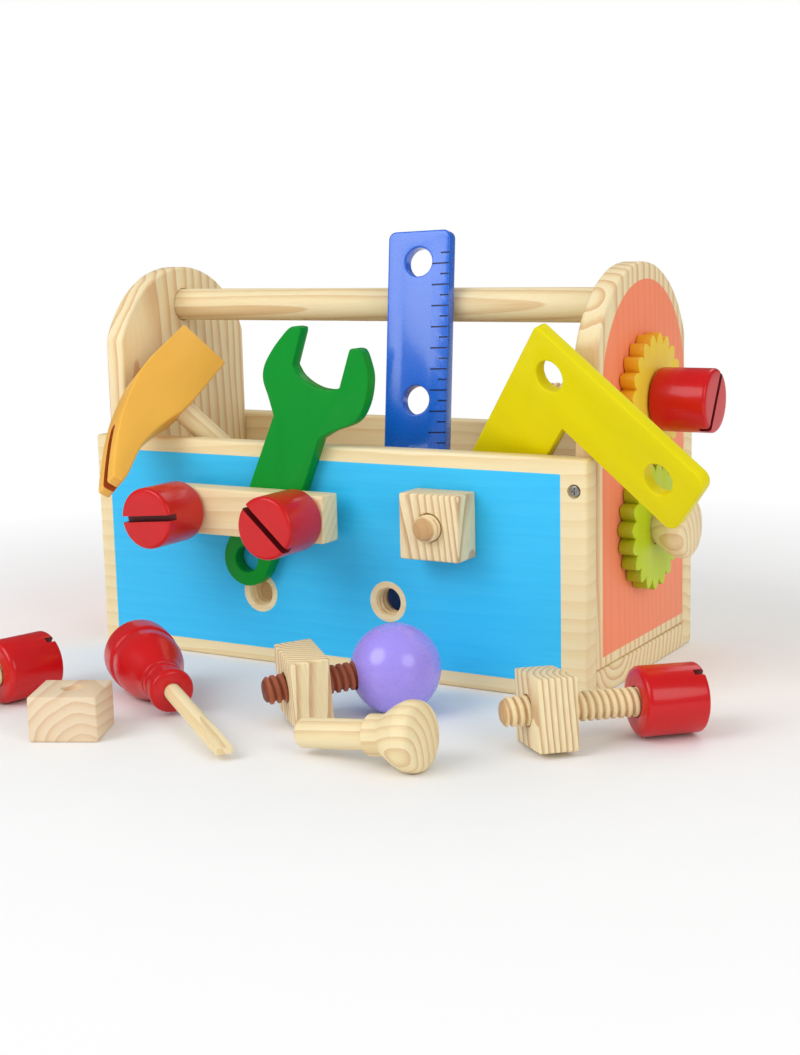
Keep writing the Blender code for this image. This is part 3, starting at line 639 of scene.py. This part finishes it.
def hole_liner(seg=48):
    """Sleeve with a female thread that fades out at both ends, for an empty hole in the front board."""
    length = BOARD_T - 2 * LINER_SETBACK
    rows = int(length / PITCH * 10)
    bm = bmesh.new()
    inner, outer = [], []
    for k in range(rows + 1):
        h = LINER_SETBACK + length * k / rows
        fade = min(1.0, k / FADE_ROWS, (rows - k) / FADE_ROWS)
        ring_in, ring_out = [], []
        for s in range(seg):
            a = 2 * math.pi * s / seg
            r = LINER_IN - LINER_DEPTH * fade * abs(math.sin(math.pi * h / PITCH - a / 2)) ** 2.2
            for ring, q in ((ring_in, r), (ring_out, LINER_OUT)):
                ring.append(bm.verts.new(Vector((q * math.cos(a), q * math.sin(a), h)) * MM))
        inner.append(ring_in)
        outer.append(ring_out)
    for wall in (inner, outer):
        for p, q in zip(wall, wall[1:]):
            ring_between(bm, p, q)
    ring_between(bm, inner[0], outer[0])
    ring_between(bm, inner[-1], outer[-1])
    return bm


for i, (x, z) in enumerate(LOWER_HOLES):
    liner = loose_object("hole_thread_%d" % i, hole_liner(), along((x, -HALF_W, z), (0, 1, 0)), turned_thread)
    for f in liner.data.polygons:
        f.use_smooth = True
    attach(liner, BODY["front_board"])

# ------------------------------------------------------------------ front: strip, wrench, bolts, nut
wrench_back = -HALF_W - GAP
strip_back = wrench_back - WRENCH_T - GAP
strip_front = strip_back - STRIP_T
strip_holes = [hole((x, strip_front, UPPER_Z), (0, 1, 0), HOLE_R, STRIP_T) for x in UPPER_HOLES[:2]]
piece("clamp_strip", box_mesh(STRIP_X, (strip_front, strip_back), STRIP_Z), Matrix.Identity(4), strip_wood,
      edge=1.0, cutters=strip_holes)

RING_C, RING_R, RING_HOLE = (-43.6, 57.8), 14.6, 7.0
wrench_pts = [(-10.8, 180.6), (-4.9, 180.8), (-4.4, 178.6), (-10.2, 161.5), (-6.8, 156.4),
              (-1.2, 152.4), (5.1, 149.9), (11.5, 149.2), (17.7, 150.2), (24.0, 168.6),
              (25.4, 170.2), (30.4, 169.8), (33.2, 164.2), (35.0, 154.9), (32.4, 142.3),
              (25.8, 133.0), (13.1, 128.2), (4.7, 123.7), (-6.4, 97.0), (-28.6, 55.0)]
wrench_pts += arc(RING_C[0], RING_C[1], RING_R, -15.0, -205.0, 14)
wrench_pts += [(-39.4, 98.5), (-23.1, 135.0), (-25.9, 144.5), (-28.9, 153.6), (-27.6, 161.2),
               (-22.6, 168.9), (-17.1, 175.1)]
sharp = {2, 3, 8, 9, 17, 18, 19, 35, 36} | set(range(20, 35))
wrench_place = at((0.0, wrench_back, 0.0), (1, 0, 0), (0, 0, 1))
ring_hole = hole((RING_C[0], wrench_back - WRENCH_T, RING_C[1]), (0, 1, 0), RING_HOLE, WRENCH_T, 0.9)
piece("wrench", plate_mesh(smooth_closed(wrench_pts, sharp, 5), 0.0, WRENCH_T), wrench_place, green, edge=1.0,
      limit=50.0, cutters=[ring_hole])

bolt_y = strip_front - GAP
INNER_TIP_Y = -95.0
play_bolt("front_bolt_left", (UPPER_HOLES[0], bolt_y, UPPER_Z), (0, -1, 0), 5.0)
play_bolt("front_bolt_mid", (UPPER_HOLES[1], bolt_y, UPPER_Z), (0, -1, 0), -42.0)
play_bolt("inner_bolt", (UPPER_HOLES[2], INNER_TIP_Y + SHANK_L, UPPER_Z), (0, 1, 0), 30.0)
play_nut("front_nut", (UPPER_HOLES[2], -HALF_W - GAP - NUT_T / 2, UPPER_Z), (0, 1, 0), (1, 0, 0), nut_wood[0])

# ------------------------------------------------------------------ gear end
gear_x = HALF_L + GAP + 0.1
# each gear's side material is its darker copy: painted shade on the rims and tooth flanks
for node, z, phase, face, side, bore_r in (("gear_upper", GEAR_Z_TOP, 12.75, amber, amber_painted_shade_side, HOLE_R),
                                           ("gear_lower", GEAR_Z_LOW, 14.25, lime, lime_painted_shade_side, 9.6)):
    place = at((gear_x, GEAR_Y, z), (0, 1, 0), (0, 0, 1))
    piece(node, plate_mesh(gear_outline(phase), 0.0, GEAR_T), place, face,
          edge=0.6, rounds=2, limit=60.0, painted_shade_side_mat=side,
          cutters=[hole((gear_x, GEAR_Y, z), (1, 0, 0), bore_r, GEAR_T, 0.4)])
play_bolt("gear_bolt", (gear_x + GEAR_T + GAP, GEAR_Y, GEAR_Z_TOP), (1, 0, 0), 60.0)
peg("gear_peg", (gear_x - 37.0, GEAR_Y, GEAR_Z_LOW), (1, 0, 0))

# ------------------------------------------------------------------ ruler, square, hammer
RULER_W, RULER_T, RULER_L = 35.2, 8.0, 216.6
TICK_PITCH, TICK_FIRST, TICK_W, TICK_D, TICKS = 5.53, 12.2, 0.8, 0.6, 34
place = at((11.3, -14.4, 227.0), (0.994, 0.103, 0.034), (0.051, -0.178, -0.983))
out = place.to_3x3() @ Vector((0, 0, 1))
face_high = out.y < 0
tools = [hole(local_point(place, 17.6, v), out, 7.6, RULER_T, 0.9) for v in (16.4, 89.0)]
bm = bmesh.new()
for k in range(TICKS):
    long = 9.6 if k % 2 else 4.8
    v = TICK_FIRST + k * TICK_PITCH
    z = (RULER_T - TICK_D, RULER_T + 2) if face_high else (-2, TICK_D)
    one = box_mesh((RULER_W - long, RULER_W + 2), (v - TICK_W / 2, v + TICK_W / 2), z)
    mesh = bpy.data.meshes.new("t")
    one.to_mesh(mesh)
    one.free()
    bm.from_mesh(mesh)
    bpy.data.meshes.remove(mesh)
tools.append(loose_object("tool", bm, place, blue_tick))
ruler_line = rounded_polygon([(0, 0, 4.0), (RULER_W, 0, 4.0), (RULER_W, RULER_L, 4.0), (0, RULER_L, 4.0)])
piece("ruler", plate_mesh(ruler_line, 0.0, RULER_T), place, blue, edge=0.9, limit=50.0, cutters=tools)

SQUARE_W, SQUARE_T, SQUARE_L, SQUARE_S = 37.1, 6.8, 110.4, 104.0
place = at((127.41, -78.11, 182.75), (0.774, -0.020, -0.633), (-0.580, 0.380, -0.722))
out = place.to_3x3() @ Vector((0, 0, 1))
square_line = rounded_polygon([(0, 0, 3.0), (SQUARE_L, 0, 6.0), (SQUARE_L, SQUARE_W, 6.0),
                               (SQUARE_W, SQUARE_W, 0.0), (SQUARE_W, SQUARE_S, 5.0), (0, SQUARE_S, 5.0)])
square_holes = [hole(local_point(place, u, v), out, 7.8, SQUARE_T, 0.9)
                for u, v in ((18.4, 17.9), (90.5, 18.5))]
piece("square", plate_mesh(square_line, 0.0, SQUARE_T), place, yellow, edge=0.9, limit=50.0,
      cutters=square_holes)

HAMMER_T, GRIP_R, GRIP_AT, GRIP_L, GRIP_SEAT, GRIP_EASE = 20.0, 6.6, 39.1, 150.0, 12.0, 1.5
head_pts = [(-0.4, 0.4), (-0.6, 31.8), (37.0, 34.0), (49.3, 33.6), (58.0, 32.0), (67.6, 31.0), (77.8, 30.7),
            (86.3, 31.6), (96.0, 34.0), (104.6, 36.4), (111.6, 37.4), (113.4, 31.5), (104.2, 25.6),
            (90.3, 17.6), (78.3, 11.8), (69.6, 8.4), (57.8, 4.7), (47.5, 2.2), (34.2, 0.6)]
place = at((-111.4, -35.5, 179.3), (0.002, -0.895, -0.446), (0.621, 0.351, -0.701))
normal = place.to_3x3() @ Vector((0, 0, 1))
place = Matrix.Translation(-normal * (1.0 if normal.x > 0 else -1.0) * HAMMER_T / 2 * MM) @ place
down = place.to_3x3() @ Vector((0, 1, 0))
# the claw's slot has a rounded upper end
slot_line = arc(82.6, 0.0, 2.6, 90.0, 270.0, 12) + [(130.0, -2.6), (130.0, 2.6)]
slot_place = place @ Matrix.Rotation(math.radians(-90), 4, "X")
# the slot cutter hands its darker orange to the slot faces: painted shade
slot_tool = loose_object("tool", plate_mesh(slot_line, -12.0, 60.0), slot_place, orange_slot_painted_shade)
seat_tool = plain_bore(GRIP_R + GAP, 40.0, along(local_point(place, GRIP_AT, GRIP_SEAT), down))
head_line = smooth_closed(head_pts, {0, 1, 2, 3, 10, 11, 18}, 6)
piece("hammer_head", plate_mesh(head_line, -HAMMER_T / 2, HAMMER_T / 2), place, orange, edge=1.2, limit=50.0,
      cutters=[slot_tool, seat_tool])
grip_end = [(GRIP_L - GRIP_EASE + GRIP_EASE * math.sin(math.radians(k)),
             GRIP_R - GRIP_EASE + GRIP_EASE * math.cos(math.radians(k))) for k in range(0, 91, 15)]
piece("hammer_grip", lathe([(0.0, GRIP_R)] + grip_end, 64),
      along(local_point(place, GRIP_AT, GRIP_SEAT + GAP), down), turned)

# ------------------------------------------------------------------ loose pieces
play_bolt("loose_bolt_left", (-113.4, -196.9, HEAD_R + 0.05), (0.2571, 0.9664, 0.0), -57.0)

BLOCK_A, BLOCK_B, BLOCK_H = 32.4, 31.2, 21.4
place = at((-54.11, -238.5, 0.0), (0.9004, 0.4350, 0.0), (-0.4350, 0.9004, 0.0))
dimple = local_point(place, BLOCK_A * 0.52, BLOCK_B * 0.55, BLOCK_H)
piece("loose_block", box_mesh((0, BLOCK_A), (0, BLOCK_B), (0.05, BLOCK_H)), place, block_wood, edge=1.0,
      cutters=[hole(dimple, (0, 0, -1), 5.2, 2.5, 0.6, False)])

DRIVER_O, DRIVER_TIP, BLADE_L, BLADE_R = (-61.35, -146.42, 18.15), (44.5, -221.0, 4.6), 93.4, 4.2
driver_axis = Vector(DRIVER_TIP) - Vector(DRIVER_O)
driver = [(-13.0, 11.5), (-11.5, 14.6), (-8.5, 17.2), (-5.0, 17.9), (4.5, 17.9), (6.5, 17.0), (13.0, 17.2),
          (19.0, 16.2), (25.0, 14.0), (31.0, 11.6), (35.4, 10.4), (36.2, 9.6), (37.0, 10.1), (39.8, 9.9),
          (40.6, 9.1), (41.4, 9.7), (46.0, 10.2), (49.5, 10.9), (51.5, 10.6), (52.5, 9.4)]
BLADE_SEAT = 36.0
seat = Vector(DRIVER_O) + driver_axis.normalized() * BLADE_SEAT
piece("screwdriver_handle", lathe(eased(driver, 4), 96), along(DRIVER_O, driver_axis), red, smooth=50.0,
      cutters=[plain_bore(BLADE_R + GAP, 20.0, along(seat, driver_axis), 48)])
blade_at = Vector(DRIVER_O) + driver_axis.normalized() * (BLADE_SEAT + GAP)
blade_place = along(blade_at, driver_axis)
tools = []
for sign in (1.0, -1.0):
    bm = bmesh.new()
    for x in (-8.0, 8.0):
        for z, y in ((BLADE_L - 38.0, sign * 4.6), (BLADE_L + 2.0, sign * 1.3), (BLADE_L + 2.0, sign * 9.0),
                     (BLADE_L - 38.0, sign * 9.0)):
            bm.verts.new(Vector((x, y, z)) * MM)
    bmesh.ops.convex_hull(bm, input=bm.verts)
    tools.append(loose_object("tool", bm, blade_place, turned))
blade = [(0.0, BLADE_R), (BLADE_L - 0.4, BLADE_R), (BLADE_L, BLADE_R - 0.4)]
piece("screwdriver_blade", lathe(blade, 56), blade_place, blade_wood, cutters=tools, smooth=20.0)

ball_c, ball_axis = Vector((73.53, -122.23, BALL_R + 0.05)), Vector((0.667, 0.741, 0.069)).normalized()
BALL_SEAT = BALL_R - 8.0
bm = bmesh.new()
bmesh.ops.create_uvsphere(bm, u_segments=96, v_segments=60, radius=BALL_R * MM)
piece("ball_bolt_ball", bm, along(ball_c, ball_axis), purple, smooth=45.0,
      cutters=[plain_bore(SHANK_R + GAP, 14.0, along(ball_c - ball_axis * (BALL_SEAT - GAP), -ball_axis))])
piece("ball_bolt_shank", thread(51.0), along(ball_c - ball_axis * BALL_SEAT, -ball_axis), umber, smooth=70.0)
side = Vector((0, 0, 1)).cross(ball_axis).normalized()
side.rotate(Matrix.Rotation(math.radians(4.0), 3, ball_axis))
play_nut("ball_nut", ball_c - ball_axis * 45.4, ball_axis, side, nut_wood[1])

peg("loose_peg", (66.8, -195.0, 9.2), (0.992, 0.0, 0.105))

f_nut, f_axis = Vector((161.8, -140.6, 17.9)), Vector((0.7100, 0.7040, -0.0140)).normalized()
play_bolt("loose_bolt_right", f_nut + f_axis * 42.0, f_axis, -60.0, SHANK_L + 2.0)
side = Vector((0, 0, 1)).cross(f_axis).normalized()
side.rotate(Matrix.Rotation(math.radians(-5.0), 3, f_axis))
play_nut("loose_nut_right", f_nut, f_axis, side, nut_wood[2])

# ------------------------------------------------------------------ stage, light, camera
bm = bmesh.new()
bmesh.ops.create_grid(bm, x_segments=1, y_segments=1, size=12.0)
t = Tree("floor_look", rough=0.8, spec=0.1)
vec = t.place()
tone = t.mix(t.noise(vec, 40.0, 3.0), (0.90, 0.90, 0.90, 1), (0.92, 0.92, 0.92, 1))
t.put(t.bsdf.inputs["Base Color"], tone)
sep = t.nt.nodes.new("ShaderNodeSeparateXYZ")
t.nt.links.new(vec, sep.inputs[0])
x, y = sep.outputs[0], sep.outputs[1]
away = t.math("SQRT", t.math("ADD", t.math("MULTIPLY", x, x), t.math("MULTIPLY", y, y)))
# away from the toy the floor turns to plain white, for the camera only
glow = t.nt.nodes.new("ShaderNodeEmission")
blend = t.nt.nodes.new("ShaderNodeMixShader")
seen_by = t.nt.nodes.new("ShaderNodeLightPath").outputs["Is Camera Ray"]
GLOW_FROM, GLOW_RATE = 0.26, 3.4
far = t.math("MULTIPLY", t.math("SUBTRACT", away, GLOW_FROM), GLOW_RATE, True)
t.nt.links.new(t.math("MULTIPLY", far, seen_by), blend.inputs[0])
t.nt.links.new(t.bsdf.outputs[0], blend.inputs[1])
t.nt.links.new(glow.outputs[0], blend.inputs[2])
t.nt.links.new(blend.outputs[0], t.nt.nodes["Material Output"].inputs["Surface"])
floor = loose_object("floor", bm, Matrix.Identity(4), t.mat)

scene = bpy.context.scene
scene.view_settings.view_transform = "Standard"
world = bpy.data.worlds.new("studio")
world.use_nodes = True
world.node_tree.nodes["Background"].inputs[0].default_value = (1.0, 1.0, 1.0, 1.0)
back = world.node_tree.nodes["Background"]
back.inputs[1].default_value = 0.65
# white to the camera, dimmer in reflections, so that paint keeps its depth
seen = world.node_tree.nodes.new("ShaderNodeBackground")
seen.inputs[0].default_value = (1.0, 1.0, 1.0, 1.0)
mirrored = world.node_tree.nodes.new("ShaderNodeBackground")
mirrored.inputs[0].default_value = (1.0, 1.0, 1.0, 1.0)
mirrored.inputs[1].default_value = 0.14
ray = world.node_tree.nodes.new("ShaderNodeLightPath")
either = world.node_tree.nodes.new("ShaderNodeMixShader")
dim = world.node_tree.nodes.new("ShaderNodeMixShader")
link = world.node_tree.links.new
link(ray.outputs["Is Camera Ray"], either.inputs[0])
link(ray.outputs["Is Glossy Ray"], dim.inputs[0])
link(back.outputs[0], dim.inputs[1])
link(mirrored.outputs[0], dim.inputs[2])
link(dim.outputs[0], either.inputs[1])
link(seen.outputs[0], either.inputs[2])
link(either.outputs[0], world.node_tree.nodes["World Output"].inputs["Surface"])
scene.world = world


def area_light(name, place, aim, size, power):
    data = bpy.data.lights.new(name, "AREA")
    data.shape, data.size, data.energy = "DISK", size, power
    ob = bpy.data.objects.new(name, data)
    scene.collection.objects.link(ob)
    ob.location = place
    ob.rotation_euler = (Vector(aim) - Vector(place)).to_track_quat("-Z", "Y").to_euler()


area_light("key", (-0.52, -1.25, 0.98), (0, 0, 0.08), 1.1, 10.0)
area_light("fill", (1.5, -0.7, 0.9), (0, 0, 0.08), 1.0, 6.4)
area_light("back", (0.2, 1.3, 1.3), (0, 0, 0.1), 0.9, 3.5)

YAW, PITCH_ANGLE, ROLL = 30.608, -10.015, 1.3206
view = (Matrix.Rotation(math.radians(YAW), 3, "Z") @ Matrix.Rotation(math.radians(PITCH_ANGLE), 3, "X")
        @ Matrix.Rotation(math.radians(ROLL), 3, "Y"))
right, forward, up = view.col[0], view.col[1], view.col[2]
cam = bpy.data.objects.new("camera", bpy.data.cameras.new("camera"))
scene.collection.objects.link(cam)
m = Matrix((right, up, -forward)).transposed().to_4x4()
m.translation = (0.4704, -0.7859, 0.2267)
cam.matrix_world = m
cam.data.lens, cam.data.sensor_width = 56.93, 36.0
scene.camera = cam
